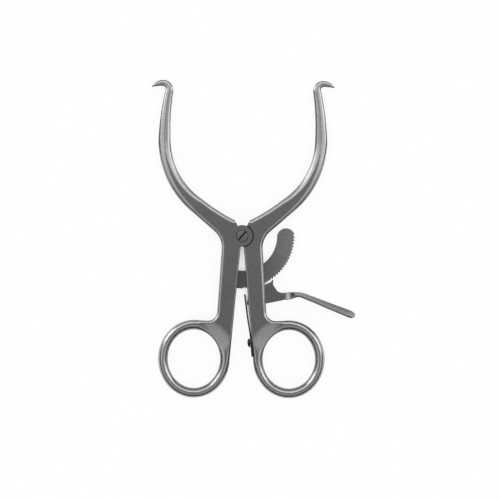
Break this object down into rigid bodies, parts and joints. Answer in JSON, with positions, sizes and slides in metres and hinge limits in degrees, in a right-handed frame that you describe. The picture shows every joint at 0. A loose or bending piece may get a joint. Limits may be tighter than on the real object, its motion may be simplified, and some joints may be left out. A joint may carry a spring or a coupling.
{
  "type": "self retaining retractor",
  "caption": "Ringed, self-retaining wound retractor: crossed arms on a lap joint with sharp outward hooks, held open by a toothed bar and a sprung release lever.",
  "frame": {"origin": "joint axis, on the plane that the instrument lies on", "axes": "+Y up the blades to the hooks, +X towards the release lever, +Z out of the top face"},
  "size_m": [0.0899, 0.1389, 0.0058],
  "materials": {
    "arm_steel": "satin",
    "bar_steel": "satin",
    "lever_steel": "satin",
    "spring_steel": "spring-tempered, satin",
    "screw_steel": "satin"
  },
  "bodies": {
    "right_arm": {"right_arm": "arm_steel", "joint_screw": "screw_steel", "lever_pin": "screw_steel", "leaf_spring": "spring_steel", "spring_screw": "screw_steel"},
    "left_arm": {"left_arm": "arm_steel", "ratchet_bar": "bar_steel", "bar_rivets": "screw_steel"},
    "release_lever": {"release_lever": "lever_steel"}
  },
  "joints": [
    {"name": "arm_pivot", "type": "hinge", "parent": "right_arm", "child": "left_arm", "pos_m": [0, 0, 0], "axis": [0, 0, 1], "range_deg": [-49.42, 7.06]},
    {"name": "lever_hinge", "type": "hinge", "parent": "right_arm", "child": "release_lever", "pos_m": [0.00618, -0.02616, 0], "axis": [0, 0, 1], "range_deg": [-7, 3.9], "stiffness_Nm_per_rad": 0.3, "springref_deg": 6.88, "deforming": ["leaf_spring"]}
  ]
}
